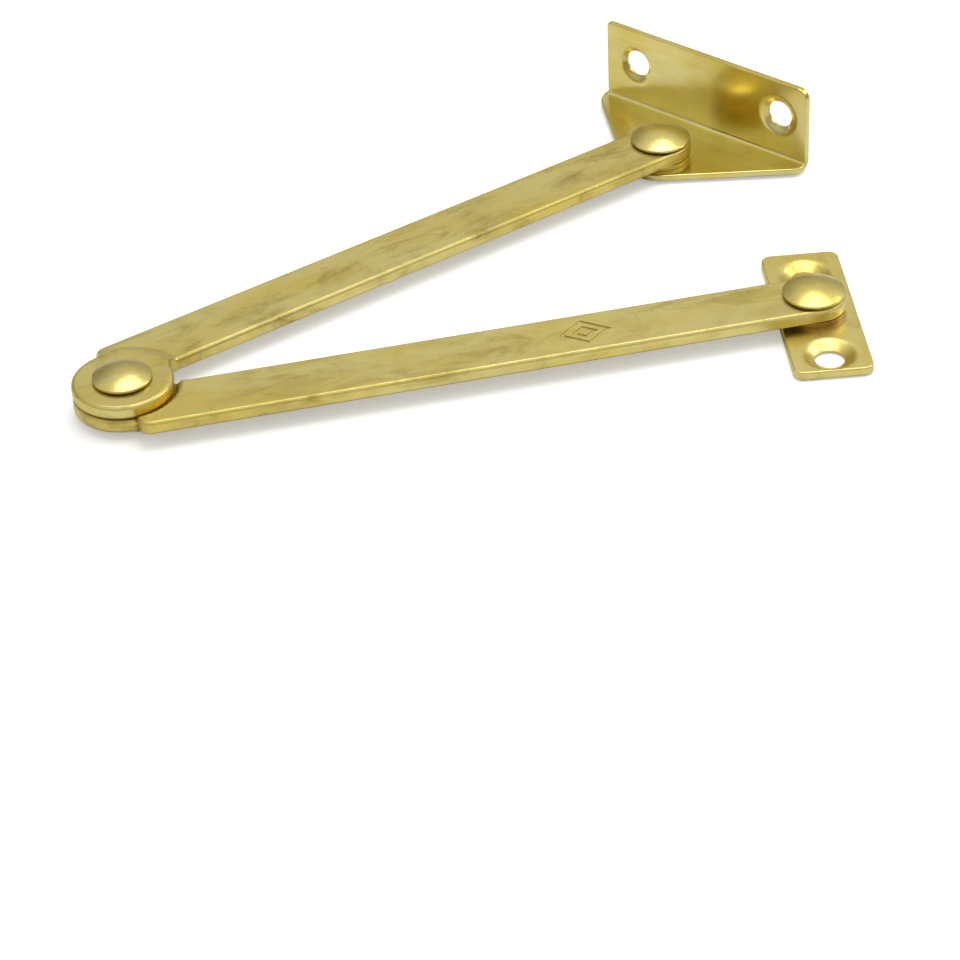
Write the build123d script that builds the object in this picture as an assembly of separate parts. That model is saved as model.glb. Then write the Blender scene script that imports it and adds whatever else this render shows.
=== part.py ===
from build123d import *
import os
from math import atan2, cos, hypot, radians, sin, tan

# Friction stay hinge: two pressed strip arms riveted together at a knuckle, a flat side plate
# riveted to the end of the lower arm and a folded angle bracket riveted to the end of the upper arm.
#
# Frame: origin midway between the side plate's screw holes on its mounting face, +X across the plate,
# +Y along it, +Z up along the rivets. The stay lies with that face at z = 0, part folded. Sizes in mm.

# How the stay stands at rest, in degrees about +Z
lower_arm_heading = 8.0
arm_spread = 22.0
bracket_turn = -74.6

# Pressed strip of the arms
strip_width = 11.4
strip_thickness = 2.5
strip_edge_round = 0.65
arm_length = 120.0
arm_offset = 6.7
eye_radius = 8.7
shoulder_radius = 9.9
web_foot_radius = 11.4
shoulder_setback = 0.9
shoulder_corner = 2.2
shoulder_blend = 1.2
crotch_blend = 3.0
joggle_bend_radius = 0.8

# Plain mark stamped in the lower arm's top face: one lozenge groove inside another
stamp_distance = 79.0
stamp_half_length = 4.6
stamp_half_width = 3.6
stamp_inner_share = 0.5
stamp_groove = 0.55
stamp_depth = 0.2

# Side plate; its middle is a little beyond the middle of the screw holes, its rivet a little to the left
plate_width = 13.8
plate_middle_y = 1.0
plate_pivot_x = -0.5
plate_length = 37.2
plate_thickness = 1.6
plate_corner = 1.8
plate_hole_spacing = 25.0
plate_edge_round = 0.3

# Angle bracket; distances along the wall are from the rivet's axis
bracket_thickness = 1.2
wall_left = 22.5
wall_right = 23.7
wall_distance = 13.2
wall_height = 15.4
wall_left_corner = 0.8
wall_right_corner = 2.2
wall_hole_left = 15.7
wall_hole_right = 17.3
wall_hole_height = 8.3
bend_inner_radius = 0.7
flange_left = 23.1
flange_tip_radius = 7.1
flange_left_slope = 42.0
flange_right_slope = 41.0
flange_left_corner = 5.4
flange_right_corner = 2.2
flange_ear_reach = 0.9
flange_ear_corner = 0.4
bracket_edge_round = 0.25

# Countersunk holes for number 8 wood screws
screw_hole_radius = 2.6
screw_land = 0.45
plate_sink_radius = 4.6
wall_sink_radius = 3.9
sink_lip_round = 2.2

# Rivets
knuckle_shank_radius = 2.5
end_shank_radius = 2.25
knuckle_head_radius = 5.1
end_head_radius = 5.5
head_rim_height = 0.75
head_rim_edge = 0.12
head_lip_height = 0.35
head_neck_inset = 1.1
head_dome_height = 1.3
tail_spread = 0.9

# Friction washers and clearances
knuckle_gap = 0.25
end_gap = 1.0
knuckle_washer_radius = 8.0
end_washer_radius = 5.5
axial_play = 0.02
running_clearance = 0.05
riveted_clearance = 0.01

# Heights worked out from the stack on the side plate
arm_bottom = plate_thickness + end_gap
arm_middle = arm_bottom + strip_thickness / 2
arm_top = arm_bottom + strip_thickness
eye_lift = (strip_thickness + knuckle_gap) / 2
upper_eye_top = arm_middle + eye_lift + strip_thickness / 2
lower_eye_top = arm_middle - knuckle_gap / 2
lower_eye_bottom = lower_eye_top - strip_thickness
flange_top = arm_bottom - end_gap
flange_bottom = flange_top - bracket_thickness


def turned(distance, offset, heading):
    """Row X and Y of a point given along and across a heading."""
    angle = radians(heading)
    x = distance * cos(angle) - offset * sin(angle)
    y = distance * sin(angle) + offset * cos(angle)
    return x, y


# Pivot axes, worked back from the side plate's rivet
upper_arm_heading = lower_arm_heading + arm_spread
bracket_heading = upper_arm_heading + bracket_turn
lower_reach_x, lower_reach_y = turned(arm_length, -arm_offset, lower_arm_heading)
knuckle_x = plate_pivot_x - lower_reach_x
knuckle_y = plate_middle_y - lower_reach_y
upper_reach_x, upper_reach_y = turned(arm_length, arm_offset, upper_arm_heading)
bracket_x = knuckle_x + upper_reach_x
bracket_y = knuckle_y + upper_reach_y
at_plate = Pos(plate_pivot_x, plate_middle_y)
at_knuckle = Pos(knuckle_x, knuckle_y)
at_bracket = Pos(bracket_x, bracket_y)


def flat_edges(solid, heights):
    """The edges of a solid that lie flat at any of the given heights."""
    found = []
    for edge in solid.edges():
        box = edge.bounding_box()
        for height in heights:
            if abs(box.min.Z - height) < 1e-4 and abs(box.max.Z - height) < 1e-4:
                found.append(edge)
    return found


def arm_outline():
    """One arm in plan: round eye at the origin, strip alongside it, blunt shoulder and round far end."""
    length = arm_length - shoulder_setback
    straight = Rectangle(length, strip_width, align=(Align.MIN, Align.CENTER))
    strip = Pos(shoulder_setback, arm_offset) * straight
    shoulder = strip.vertices().sort_by(Axis.X)[:2].sort_by(Axis.Y)[-1]
    strip = fillet(shoulder, shoulder_corner)
    outline = strip + Pos(arm_length, arm_offset) * Circle(strip_width / 2) + Circle(eye_radius)
    shoulder_meeting = (shoulder_setback, hypot(eye_radius, shoulder_setback))
    crotch_meeting = (eye_radius, arm_offset - strip_width / 2)
    outline = round_corner(outline, shoulder_meeting, shoulder_blend)
    return round_corner(outline, crotch_meeting, crotch_blend)


def stepped_sheet():
    """Sheet that steps up round the knuckle axis, steeply where it faces the other eye and gently above."""
    half = strip_thickness / 2
    reach = arm_length + strip_width
    under = [(0, eye_lift - half), (eye_radius, eye_lift - half), (shoulder_radius, -half), (reach, -half)]
    over = [(reach, half), (web_foot_radius, half), (eye_radius, eye_lift + half), (0, eye_lift + half)]
    profile = make_face(Polyline(*under, *over, close=True))
    bends = [v for v in profile.vertices() if eye_radius - 0.1 < v.X < web_foot_radius + 0.1]
    profile = fillet(bends, joggle_bend_radius)
    return revolve(Plane.XZ * profile, Axis.Z, 360)


def arm_pressing():
    """One arm with its knuckle axis at the origin, running along +X, eye stepped up, no rivet holes."""
    blank = extrude(arm_outline(), 2 * strip_thickness, both=True)
    arm = blank & stepped_sheet()
    rims = []
    for face in arm.faces():
        if abs(face.normal_at().Z) < 1e-3:
            rims += [e for e in face.edges() if not is_upright(e)]
    return fillet(rims, strip_edge_round)


def is_upright(edge):
    """Whether an edge runs straight up."""
    box = edge.bounding_box()
    return box.max.X - box.min.X < 1e-4 and box.max.Y - box.min.Y < 1e-4


def through(radius, bottom, top):
    """A round cutter between two heights, on the Z axis."""
    return Pos(0, 0, bottom) * extrude(Circle(radius), top - bottom)


def tail_seat(shank_radius, face, thickness, clearance):
    """Cutter for a riveted hole whose lower face is countersunk for the flush tail."""
    hole = through(shank_radius + clearance, face - 1, face + thickness + 1)
    wide = shank_radius + tail_spread + clearance
    on_face = (Align.CENTER, Align.CENTER, Align.MIN)
    cone = Cone(wide, wide - tail_spread, tail_spread, align=on_face)
    return hole + Pos(0, 0, face) * cone


def lozenge(share):
    """Lozenge with its long diagonal along X, at a share of the stamp's full size."""
    length = share * stamp_half_length
    width = share * stamp_half_width
    return make_face(Polyline((-length, 0), (0, -width), (length, 0), (0, width), close=True))


def stamp():
    """Two lozenge grooves, one inside the other."""
    outer = lozenge(1) - offset(lozenge(1), -stamp_groove)
    inner = lozenge(stamp_inner_share) - offset(lozenge(stamp_inner_share), -stamp_groove)
    return outer + inner


def make_lower_arm():
    """The pressing turned over, so that its eye lies under the upper arm's eye."""
    arm = Rot(180, 0, 0) * arm_pressing()
    half = strip_thickness / 2
    arm -= tail_seat(knuckle_shank_radius, -eye_lift - half, strip_thickness, riveted_clearance)
    arm -= Pos(arm_length, -arm_offset) * through(end_shank_radius + running_clearance, -half - 1, half + 1)
    arm -= Pos(stamp_distance, -arm_offset, half - stamp_depth) * extrude(stamp(), 1)
    return Pos(knuckle_x, knuckle_y, arm_middle) * Rot(0, 0, lower_arm_heading) * arm


def make_upper_arm():
    """The pressing as made, with its eye on top at the knuckle."""
    arm = arm_pressing()
    arm -= through(knuckle_shank_radius + running_clearance, -1, eye_lift + strip_thickness)
    reach = strip_thickness
    arm -= Pos(arm_length, arm_offset) * through(end_shank_radius + running_clearance, -reach, reach)
    return Pos(knuckle_x, knuckle_y, arm_middle) * Rot(0, 0, upper_arm_heading) * arm


def screw_cutter(thickness, sink_radius):
    """Countersunk screw hole with a rolled lip, its mouth at z = 0, going down through a sheet."""
    depth = thickness - screw_land
    slope = atan2(depth, sink_radius - screw_hole_radius)
    reach = sink_lip_round * tan(slope / 2)
    lip_start = (sink_radius - reach * cos(slope), -reach * sin(slope))
    lip_end = (sink_radius + reach, 0)
    middle_x = lip_end[0] - sink_lip_round * sin(slope / 2)
    middle_z = -sink_lip_round * (1 - cos(slope / 2))
    below = -thickness - 1
    outline = [
        Line((0, below), (screw_hole_radius, below)),
        Line((screw_hole_radius, below), (screw_hole_radius, -depth)),
        Line((screw_hole_radius, -depth), lip_start),
        ThreePointArc(lip_start, (middle_x, middle_z), lip_end),
        Line(lip_end, (lip_end[0], 1)),
        Line((lip_end[0], 1), (0, 1)),
        Line((0, 1), (0, below)),
    ]
    return revolve(Plane.XZ * make_face(outline), Axis.Z, 360)


def make_side_plate():
    """Flat plate with a countersunk screw hole each side of the lower arm's rivet."""
    outline = Pos(0, plate_middle_y) * RectangleRounded(plate_width, plate_length, plate_corner)
    plate = extrude(outline, plate_thickness)
    plate = fillet(flat_edges(plate, (plate_thickness,)), plate_edge_round)
    plate = chamfer(flat_edges(plate, (0,)), plate_edge_round / 2)
    for side in (-1, 1):
        spot = Pos(0, side * plate_hole_spacing / 2, plate_thickness)
        plate -= spot * screw_cutter(plate_thickness, plate_sink_radius)
    return plate - at_plate * tail_seat(end_shank_radius, 0, plate_thickness, riveted_clearance)


def flange_outline():
    """Flange in plan: rivet at the origin, round tip, a small ear left standing beside the fold."""
    back = wall_distance - bend_inner_radius
    ear_back = wall_distance + flange_ear_reach
    beyond = wall_distance + 2 * bracket_thickness
    left = radians(flange_left_slope)
    right = radians(flange_right_slope)
    tip = flange_tip_radius
    left_touch = (-tip * sin(left), -tip * cos(left))
    right_touch = (tip * sin(right), -tip * cos(right))
    left_run = (flange_left + left_touch[0]) / cos(left)
    right_run = (wall_right - right_touch[0]) / cos(right)
    left_corner = (-flange_left, left_touch[1] + left_run * sin(left))
    right_corner = (wall_right, right_touch[1] + right_run * sin(right))
    edges = [
        Line((-flange_left, ear_back), left_corner),
        Line(left_corner, left_touch),
        ThreePointArc(left_touch, (0, -tip), right_touch),
        Line(right_touch, right_corner),
        Line(right_corner, (wall_right, beyond)),
        Line((wall_right, beyond), (-wall_left, beyond)),
        Line((-wall_left, beyond), (-wall_left, ear_back)),
        Line((-wall_left, ear_back), (-flange_left, ear_back)),
    ]
    outline = make_face(edges)
    outline = round_corner(outline, right_corner, flange_right_corner)
    outline = round_corner(outline, left_corner, flange_left_corner)
    outline = round_corner(outline, (-flange_left, ear_back), flange_ear_corner)
    before_fold = Rectangle(4 * wall_left, 4 * wall_left, align=(Align.CENTER, Align.MAX))
    ear_side = Rectangle(wall_left, wall_left, align=(Align.MAX, Align.CENTER))
    return outline & (Pos(0, back) * before_fold + Pos(-wall_left, back) * ear_side)


def round_corner(outline, corner, radius):
    """The outline with the corner at a point rounded."""
    near = min(outline.vertices(), key=lambda v: hypot(v.X - corner[0], v.Y - corner[1]))
    return fillet(near, radius)


def rim_edges(sheet, across, along, seam):
    """Rim edges of a flat sheet, lying square to one axis, apart from those on the seam of the other."""
    found = []
    for edge in sheet.edges():
        box = edge.bounding_box()
        low = getattr(box.min, along) - seam
        high = getattr(box.max, along) - seam
        level = getattr(box.max, across) - getattr(box.min, across) < 1e-4
        if level and max(abs(low), abs(high)) > 1e-3:
            found.append(edge)
    return found


def beside_fold(edge):
    """Whether an edge lies along the fold's left end."""
    box = edge.bounding_box()
    return abs(box.min.X + wall_left) < 1e-4 and abs(box.max.X + wall_left) < 1e-4


def make_angle_bracket():
    """Sheet folded to a right angle, flange under the upper arm and wall standing up behind it."""
    wall_top = flange_top + wall_height
    outer_face = wall_distance + bracket_thickness
    bend_y = wall_distance - bend_inner_radius
    bend_z = flange_top + bend_inner_radius
    outer_bend = bend_inner_radius + bracket_thickness

    flange = Pos(0, 0, flange_bottom) * extrude(flange_outline(), bracket_thickness)
    rims = [e for e in rim_edges(flange, "Z", "Y", bend_y) if not beside_fold(e)]
    flange = fillet(rims, bracket_edge_round)
    bend = Circle(outer_bend) - Circle(bend_inner_radius)
    bend &= Rectangle(outer_bend, outer_bend, align=(Align.MIN, Align.MAX))
    width = wall_left + wall_right
    bend_plane = Plane(origin=(-wall_left, bend_y, bend_z), x_dir=(0, 1, 0), z_dir=(1, 0, 0))
    fold = extrude(bend_plane * bend, width)
    fold = fillet(fold.edges().filter_by(GeomType.CIRCLE), bracket_edge_round)
    wall_face = Pos(width / 2, (wall_top - bend_z) / 2) * Rectangle(width, wall_top - bend_z)
    corners = wall_face.vertices().group_by(Axis.Y)[-1].sort_by(Axis.X)
    wall_face = fillet(corners[-1], wall_right_corner)
    corners = wall_face.vertices().group_by(Axis.Y)[-1].sort_by(Axis.X)
    wall_face = fillet(corners[0], wall_left_corner)
    wall_plane = Plane(origin=(-wall_left, outer_face, bend_z), x_dir=(1, 0, 0), z_dir=(0, -1, 0))
    wall = extrude(wall_plane * wall_face, bracket_thickness)
    wall = fillet(rim_edges(wall, "Y", "Z", bend_z), bracket_edge_round)
    bracket = flange + fold + wall
    for along in (-wall_hole_left, wall_hole_right):
        mouth = Plane(
            origin=(along, wall_distance, flange_top + wall_hole_height), x_dir=(1, 0, 0), z_dir=(0, -1, 0)
        )
        bracket -= mouth.location * screw_cutter(bracket_thickness, wall_sink_radius)
    bracket -= tail_seat(end_shank_radius, flange_bottom, bracket_thickness, riveted_clearance)
    return Pos(bracket_x, bracket_y) * Rot(0, 0, bracket_heading) * bracket


def rivet(shank_radius, head_radius, seat, tail_face, tail_clearance):
    """Domed rivet on the Z axis: thin-rimmed head on a narrower neck, tail closed flush below."""
    base = seat + axial_play
    rim = base + head_rim_height
    crown = rim + head_dome_height
    tail_radius = shank_radius + tail_spread - tail_clearance
    tail_top = tail_face + tail_spread - tail_clearance
    dome_edge = head_radius - head_rim_edge
    points = [
        (0, tail_face),
        (tail_radius, tail_face),
        (shank_radius, tail_top),
        (shank_radius, base),
        (head_radius - head_neck_inset, base),
        (head_radius, base + head_lip_height),
        (head_radius, rim - head_rim_edge),
        (dome_edge, rim),
    ]
    outline = [Line(start, end) for start, end in zip(points, points[1:])]
    outline.append(RadiusArc(points[-1], (0, crown), -dome_radius(dome_edge)))
    outline.append(Line((0, crown), points[0]))
    return revolve(Plane.XZ * make_face(outline), Axis.Z, 360)


def dome_radius(half_chord):
    """Radius of the spherical cap that rises head_dome_height over a half chord."""
    return (half_chord**2 + head_dome_height**2) / (2 * head_dome_height)


def washer(inner_radius, outer_radius, bottom, gap):
    """Thin friction washer that fills a gap apart from its play."""
    ring = Circle(outer_radius) - Circle(inner_radius)
    return Pos(0, 0, bottom + axial_play) * extrude(ring, gap - 2 * axial_play)


knuckle_bore = knuckle_shank_radius + running_clearance
end_bore = end_shank_radius + running_clearance
pieces = {
    "side_plate": make_side_plate(),
    "lower_arm": make_lower_arm(),
    "upper_arm": make_upper_arm(),
    "angle_bracket": make_angle_bracket(),
    "knuckle_rivet": at_knuckle
    * rivet(knuckle_shank_radius, knuckle_head_radius, upper_eye_top, lower_eye_bottom, riveted_clearance),
    "plate_rivet": at_plate * rivet(end_shank_radius, end_head_radius, arm_top, 0, riveted_clearance),
    "bracket_rivet": at_bracket
    * rivet(end_shank_radius, end_head_radius, arm_top, flange_bottom, riveted_clearance),
    "knuckle_washer": at_knuckle * washer(knuckle_bore, knuckle_washer_radius, lower_eye_top, knuckle_gap),
    "plate_washer": at_plate * washer(end_bore, end_washer_radius, plate_thickness, end_gap),
    "bracket_washer": at_bracket * washer(end_bore, end_washer_radius, flange_top, end_gap),
}

os.makedirs("parts", exist_ok=True)
for name, solid in pieces.items():
    solid.label = name
    export_step(solid, f"parts/{name}.step")
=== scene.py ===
from math import cos, pi, radians, sin

import bpy
from mathutils import Matrix, Vector

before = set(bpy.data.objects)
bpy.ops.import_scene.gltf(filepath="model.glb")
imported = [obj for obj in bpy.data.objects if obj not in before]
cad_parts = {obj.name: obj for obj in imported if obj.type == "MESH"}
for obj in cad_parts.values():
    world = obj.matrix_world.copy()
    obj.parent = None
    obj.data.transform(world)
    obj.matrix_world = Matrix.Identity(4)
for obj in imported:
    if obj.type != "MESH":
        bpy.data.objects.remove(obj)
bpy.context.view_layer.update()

# Friction stay hinge: brass-plated pressed strip on a plain white sweep. Metres, Z up.

# How the pieces lie at rest, in degrees about +Z; rolling marks and hairlines follow them
LOWER_HEADING = 8.0
UPPER_HEADING = 30.0
BRACKET_HEADING = -44.6
PLATE_HEADING = 90.0

# Colours of the metal, linear
CLEAN = (0.80, 0.685, 0.245, 1)
PALE = (0.82, 0.72, 0.29, 1)
WARM = (0.77, 0.61, 0.150, 1)
TARNISH = (0.42, 0.315, 0.075, 1)
WORN = (0.88, 0.77, 0.34, 1)
# Painted shade for rounded rims, laid on to tone down their highlights
RIM_SHADE = (0.50, 0.41, 0.16, 1)
# Bronze of the friction washers, kept dark so that it also paints the shade under the arms' ends
BRONZE_AND_SHADE = (0.40, 0.22, 0.07, 1)
BRONZE_DARK = (0.18, 0.09, 0.03, 1)

# Grain of the metal: how often each pattern repeats per metre, and how deep its relief is in metres
HUE_SCALE = 95.0
SMUDGE_SCALE = 260.0
PATCH_SCALE = 75.0
HAIRLINE_SCALE = 2200.0
GRAIN_SCALE = 1200.0
PIT_SCALE = 900.0
# How often the patchiness of the rims' painted shade repeats per metre
RIM_SHADE_PATCH_SCALE = 420.0
WAVE_SCALE = 130.0
WAVE_DEPTH = 0.00004
HAIRLINE_DEPTH = 0.000002
GRAIN_DEPTH = 0.0000002
SMUDGE_STRETCH = (0.33, 1, 1)
HAIRLINE_STRETCH = (0.02, 1, 1)
EDGE_REACH = 0.0005

# Floor, just under the mounting face, and the surround
FLOOR_HALF_SIDE = 3.0
FLOOR_LEVEL = -0.0002
FLOOR_MIDDLE = (-0.06, 0.01, FLOOR_LEVEL)
FLOOR_GLOW = 0.34
SURROUND = 0.90
SKY_LOW = 0.36
SKY_HIGH = 0.70
SHADE = (0.16, 0.15, 0.15, 1)
SHADE_TOWARD = (-0.52, 0.78, 0.35)

# Softboxes: place, point they face, width, height and radiance
KEY = ((0.03, 0.11, 0.75), (-0.06, 0.02, 0.0), 0.46, 0.56, 2.8)
SIDE = ((0.52, 0.15, 0.47), (-0.10, 0.0, 0.0), 0.30, 0.24, 4.0)

# Camera; angles in degrees, lens and sensor in millimetres
CAMERA_PLACE = (-0.090008, -0.473416, 0.322017)
CAMERA_ELEVATION = 36.416
CAMERA_HEADING = 86.382
CAMERA_ROLL = -2.818
CAMERA_LENS = 124.118
CAMERA_SENSOR = 36.0


def grey(value):
    """An even grey as a colour."""
    return (value, value, value, 1)


class Graph:
    """A few short words for building a node tree."""

    def __init__(self, tree):
        self.tree = tree
        self.tree.nodes.clear()

    def node(self, kind, **settings):
        made = self.tree.nodes.new(kind)
        for key, value in settings.items():
            setattr(made, key, value)
        return made

    def feed(self, socket, value):
        """Links another node's output to a socket, or sets it to a plain value."""
        if isinstance(value, bpy.types.NodeSocket):
            self.tree.links.new(value, socket)
        else:
            socket.default_value = value

    def coords(self):
        return self.node("ShaderNodeTexCoord").outputs["Object"]

    def mapped(self, vector, turn=0.0, stretch=(1, 1, 1), shift=(0, 0, 0)):
        made = self.node("ShaderNodeMapping")
        self.feed(made.inputs["Vector"], vector)
        made.inputs["Rotation"].default_value = (0, 0, radians(turn))
        made.inputs["Scale"].default_value = stretch
        made.inputs["Location"].default_value = shift
        return made.outputs[0]

    def noise(self, vector, scale, detail=3.0, roughness=0.5, distortion=0.0):
        made = self.node("ShaderNodeTexNoise")
        self.feed(made.inputs["Vector"], vector)
        self.feed(made.inputs["Scale"], scale)
        self.feed(made.inputs["Detail"], detail)
        self.feed(made.inputs["Roughness"], roughness)
        self.feed(made.inputs["Distortion"], distortion)
        return made.outputs[0]

    def math(self, operation, a, b=0.0, c=0.0, clamp=False):
        made = self.node("ShaderNodeMath", operation=operation, use_clamp=clamp)
        for socket, value in zip(made.inputs, (a, b, c)):
            self.feed(socket, value)
        return made.outputs[0]

    def span(self, value, low, high, out_low=0.0, out_high=1.0):
        """Eases a value's range from low to high over to another range."""
        made = self.node("ShaderNodeMapRange", interpolation_type="SMOOTHSTEP")
        for socket, setting in zip(made.inputs, (value, low, high, out_low, out_high)):
            self.feed(socket, setting)
        return made.outputs[0]

    def mix(self, share, a, b):
        """Colour a with a share of colour b in it."""
        made = self.node("ShaderNodeMix", data_type="RGBA")
        self.feed(made.inputs[0], share)
        self.feed(made.inputs[6], a)
        self.feed(made.inputs[7], b)
        return made.outputs[2]

    def bump(self, height, distance, normal=None):
        made = self.node("ShaderNodeBump")
        made.inputs["Distance"].default_value = distance
        self.feed(made.inputs["Height"], height)
        if normal is not None:
            self.feed(made.inputs["Normal"], normal)
        return made.outputs[0]

    def edges(self):
        """How near a surface is to an outside edge, 0 on the flats and 1 on the edge."""
        rounded = self.node("ShaderNodeBevel", samples=4)
        rounded.inputs["Radius"].default_value = EDGE_REACH
        plain = self.node("ShaderNodeNewGeometry")
        dot = self.node("ShaderNodeVectorMath", operation="DOT_PRODUCT")
        self.feed(dot.inputs[0], rounded.outputs[0])
        self.feed(dot.inputs[1], plain.outputs["Normal"])
        return self.span(dot.outputs["Value"], 0.995, 0.80)

    def slanted(self):
        """1 where a surface slants a little, as the top of a rounded rim does, 0 where level or steep."""
        split = self.node("ShaderNodeSeparateXYZ")
        self.feed(split.inputs[0], self.node("ShaderNodeNewGeometry").outputs["Normal"])
        level = self.math("ABSOLUTE", split.outputs["Z"])
        not_steep = self.span(level, 0.70, 0.86)
        not_level = self.span(level, 0.90, 0.99, 1.0, 0.0)
        return self.math("MULTIPLY", not_steep, not_level)


def brass(name, heading, seed, rough, soil=0.5, streaks=0.5, wave=WAVE_DEPTH, clean=CLEAN, dark=TARNISH,
          slant_shade=0.0):
    """Thin brass plating over rolled steel strip: smudges and hairlines lie along the strip.

    soil and streaks say how strongly round patches and long smudges tarnish it, wave how deep its slow
    waviness is, and slant_shade how much the gently slanting tops of rounded rims take of the rims'
    painted shade and added roughness."""
    made = bpy.data.materials.new(name)
    made.use_nodes = True
    g = Graph(made.node_tree)
    place = g.mapped(g.coords(), turn=-heading, shift=(seed, seed * 0.7, seed * 0.3))
    along = g.mapped(place, stretch=SMUDGE_STRETCH)
    hair = g.mapped(place, stretch=HAIRLINE_STRETCH)

    smudge = g.noise(along, SMUDGE_SCALE, 4.0, 0.65, 0.6)
    patch = g.noise(place, PATCH_SCALE, 5.0, 0.62, 0.3)
    lines = g.noise(hair, HAIRLINE_SCALE, 1.0, 0.6)
    grain = g.noise(place, GRAIN_SCALE, 1.0)
    pits = g.noise(place, PIT_SCALE, 2.0)
    hue = g.noise(along, HUE_SCALE, 4.0, 0.6)
    rim_shade_patches = g.noise(place, RIM_SHADE_PATCH_SCALE)
    waviness = g.noise(place, WAVE_SCALE, 2.0)

    # Tarnish: long smudges, patches and a few specks
    soiled = g.math("MULTIPLY", g.span(smudge, 0.46, 0.72), streaks)
    soiled = g.math("ADD", soiled, g.math("MULTIPLY", g.span(patch, 0.46, 0.72), soil))
    specks = g.math("MULTIPLY", g.span(pits, 0.64, 0.80), 0.35)
    soiled = g.math("ADD", soiled, specks, clamp=True)

    # Rims get painted shade, patchy along them, that tones down the highlights their rounding catches;
    # they are made rougher too
    rim = g.math("MAXIMUM", g.edges(), g.math("MULTIPLY", g.slanted(), slant_shade))
    painted_rim_shade = g.math("MULTIPLY", rim, g.span(rim_shade_patches, 0.35, 0.65, 0.65, 0.95))

    hairlines = g.span(lines, 0.35, 0.75)
    colour = g.mix(g.span(hue, 0.42, 0.62), clean, WARM)
    colour = g.mix(g.math("MULTIPLY", hairlines, 0.15), colour, WORN)
    colour = g.mix(soiled, colour, dark)
    # Painted shade on the rims
    colour = g.mix(painted_rim_shade, colour, RIM_SHADE)

    roughness = g.math("ADD", rough, g.math("MULTIPLY", soiled, 0.16))
    roughness = g.math("ADD", roughness, g.math("MULTIPLY_ADD", grain, 0.08, -0.04))
    roughness = g.math("ADD", roughness, g.math("MULTIPLY", rim, 0.40))

    normal = g.bump(waviness, wave)
    normal = g.bump(smudge, 0.5 * wave, normal)
    normal = g.bump(lines, HAIRLINE_DEPTH, normal)
    normal = g.bump(grain, GRAIN_DEPTH, normal)

    surface = g.node("ShaderNodeBsdfPrincipled")
    g.feed(surface.inputs["Base Color"], colour)
    g.feed(surface.inputs["Metallic"], 1.0)
    g.feed(surface.inputs["Roughness"], roughness)
    g.feed(surface.inputs["Normal"], normal)
    out = g.node("ShaderNodeOutputMaterial")
    g.feed(out.inputs["Surface"], surface.outputs[0])
    return made


def paint(node, material):
    """Gives a CAD piece its finish."""
    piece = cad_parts[node]
    piece.data.materials.clear()
    piece.data.materials.append(material)


def finish_pieces():
    """Each piece's own brass; the seeds keep their patterns apart."""
    paint("lower_arm", brass(
        "lower_arm_brass", LOWER_HEADING, 0.31, 0.30, soil=0.45, streaks=0.6, slant_shade=0.8))
    paint("upper_arm", brass(
        "upper_arm_brass", UPPER_HEADING, 0.58, 0.30, soil=0.65, streaks=0.75, slant_shade=0.8))
    paint("angle_bracket", brass(
        "angle_bracket_brass", BRACKET_HEADING, 0.77, 0.19, soil=0.22, streaks=0.2, clean=PALE))
    paint("side_plate", brass(
        "side_plate_brass", PLATE_HEADING, 0.47, 0.32, soil=0.4, streaks=0.35, wave=0.000014))
    rivet_brass = brass("rivet_brass_plating", 0.0, 0.63, 0.27, soil=0.35, streaks=0.15, wave=0.00002)
    for rivet in ("knuckle_rivet", "plate_rivet", "bracket_rivet"):
        paint(rivet, rivet_brass)
    # The washers' dark bronze stands for their own colour and also paints the shade under the arms' ends
    washer_bronze_and_shade = brass("washer_bronze_and_shade", 0.0, 0.83, 0.34, clean=BRONZE_AND_SHADE, dark=BRONZE_DARK)
    for washer in ("knuckle_washer", "plate_washer"):
        paint(washer, washer_bronze_and_shade)
    paint("bracket_washer", brass("bracket_washer_brass", 0.0, 0.91, 0.30, soil=0.3, streaks=0.2))


def make_floor():
    """Plain white floor; the metal mirrors it as a sheet that falls off into a dim room."""
    side = FLOOR_HALF_SIDE
    rim = [(-side, -side), (side, -side), (side, side), (-side, side)]
    mesh = bpy.data.meshes.new("floor")
    mesh.from_pydata([(x, y, FLOOR_LEVEL) for x, y in rim], [], [(0, 1, 2, 3)])
    floor = bpy.data.objects.new("floor", mesh)
    bpy.context.scene.collection.objects.link(floor)
    made = bpy.data.materials.new("floor_white")
    made.use_nodes = True
    g = Graph(made.node_tree)
    place = g.coords()
    away = g.node("ShaderNodeVectorMath", operation="DISTANCE")
    g.feed(away.inputs[0], place)
    away.inputs[1].default_value = FLOOR_MIDDLE
    mirrored = g.mix(g.span(away.outputs["Value"], 0.10, 0.34), grey(0.78), grey(0.28))
    seen = g.mix(g.noise(place, 6.0), grey(0.88), grey(0.90))
    direct = g.node("ShaderNodeLightPath").outputs["Is Camera Ray"]
    surface = g.node("ShaderNodeBsdfPrincipled")
    g.feed(surface.inputs["Base Color"], g.mix(direct, mirrored, seen))
    g.feed(surface.inputs["Roughness"], 0.8)
    surface.inputs["Specular IOR Level"].default_value = 0.1
    g.feed(surface.inputs["Emission Color"], grey(1))
    g.feed(surface.inputs["Emission Strength"], g.math("MULTIPLY", direct, FLOOR_GLOW))
    out = g.node("ShaderNodeOutputMaterial")
    g.feed(out.inputs["Surface"], surface.outputs[0])
    mesh.materials.append(made)


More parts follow.
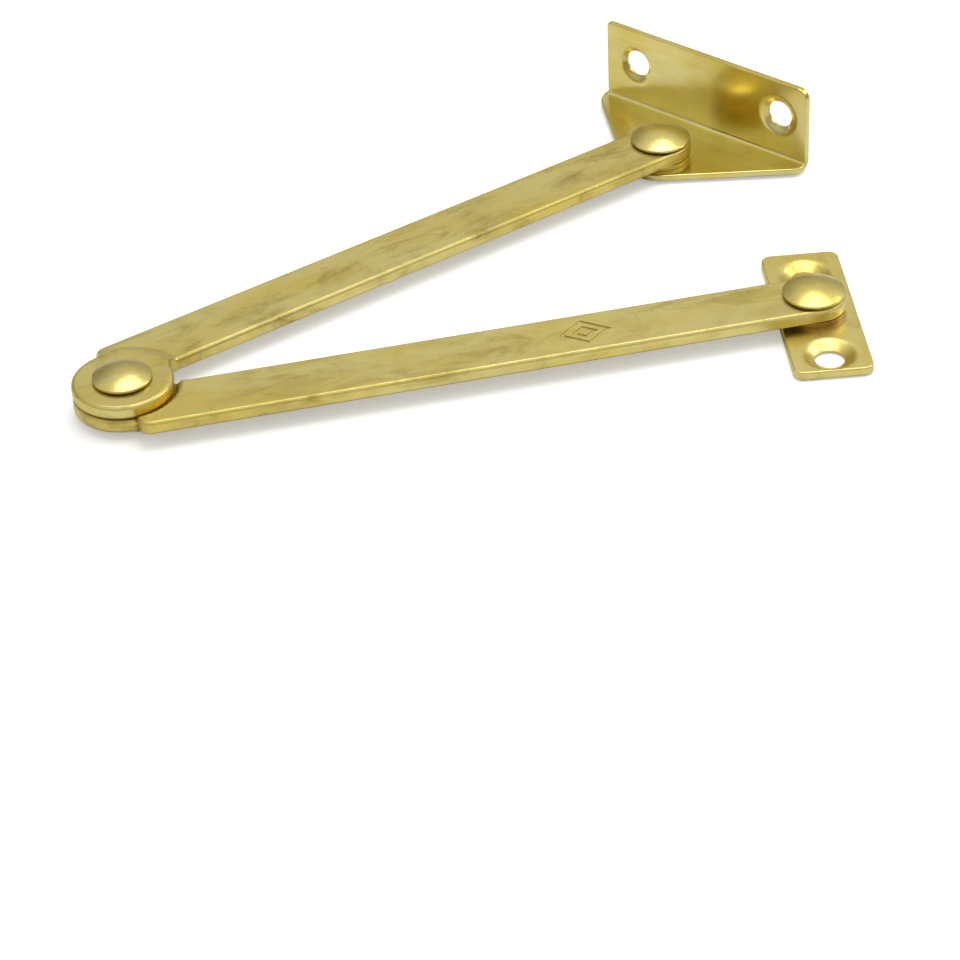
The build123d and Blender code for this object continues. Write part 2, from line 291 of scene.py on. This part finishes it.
def make_sky():
    """Pale surround to the eye; the metal mirrors a studio, dim low down and darkest at the back left."""
    world = bpy.data.worlds.new("surround")
    bpy.context.scene.world = world
    world.use_nodes = True
    g = Graph(world.node_tree)
    direction = g.node("ShaderNodeTexCoord").outputs["Generated"]
    split = g.node("ShaderNodeSeparateXYZ")
    g.feed(split.inputs[0], direction)
    lifted = g.span(split.outputs["Z"], 0.05, 0.65)
    mirrored = g.mix(lifted, grey(SKY_LOW), grey(SKY_HIGH))
    toward = g.node("ShaderNodeVectorMath", operation="DOT_PRODUCT")
    g.feed(toward.inputs[0], direction)
    toward.inputs[1].default_value = SHADE_TOWARD
    shaded = g.span(toward.outputs["Value"], 0.84, 0.99, 0.0, 0.6)
    mirrored = g.mix(shaded, mirrored, SHADE)
    direct = g.node("ShaderNodeLightPath").outputs["Is Camera Ray"]
    glow = g.node("ShaderNodeBackground")
    g.feed(glow.inputs["Color"], g.mix(direct, mirrored, grey(SURROUND)))
    out = g.node("ShaderNodeOutputWorld")
    g.feed(out.inputs["Surface"], glow.outputs[0])


def softbox(name, place, target, width, height, radiance):
    """Rectangular softbox facing a point."""
    light = bpy.data.lights.new(name, "AREA")
    light.shape = "RECTANGLE"
    light.size = width
    light.size_y = height
    light.energy = radiance * pi * width * height
    lamp = bpy.data.objects.new(name, light)
    lamp.location = place
    lamp.rotation_euler = (Vector(target) - Vector(place)).to_track_quat("-Z", "Y").to_euler()
    bpy.context.scene.collection.objects.link(lamp)


def make_camera():
    """Long lens, looking down at the stay a little across its length."""
    camera = bpy.data.cameras.new("camera")
    camera.sensor_width = CAMERA_SENSOR
    camera.lens = CAMERA_LENS
    camera.clip_start = 0.01
    holder = bpy.data.objects.new("camera", camera)
    bpy.context.scene.collection.objects.link(holder)
    elevation = radians(CAMERA_ELEVATION)
    heading = radians(CAMERA_HEADING)
    roll = radians(CAMERA_ROLL)
    forward = Vector((cos(elevation) * cos(heading), cos(elevation) * sin(heading), -sin(elevation)))
    flat_right = forward.cross(Vector((0, 0, 1))).normalized()
    flat_up = flat_right.cross(forward)
    right = cos(roll) * flat_right + sin(roll) * flat_up
    up = -sin(roll) * flat_right + cos(roll) * flat_up
    turn = Matrix((right, up, -forward)).transposed().to_4x4()
    holder.matrix_world = Matrix.Translation(CAMERA_PLACE) @ turn
    bpy.context.scene.camera = holder


finish_pieces()
make_floor()
make_sky()
softbox("key", *KEY)
softbox("side", *SIDE)
make_camera()
bpy.context.scene.view_settings.view_transform = "Standard"
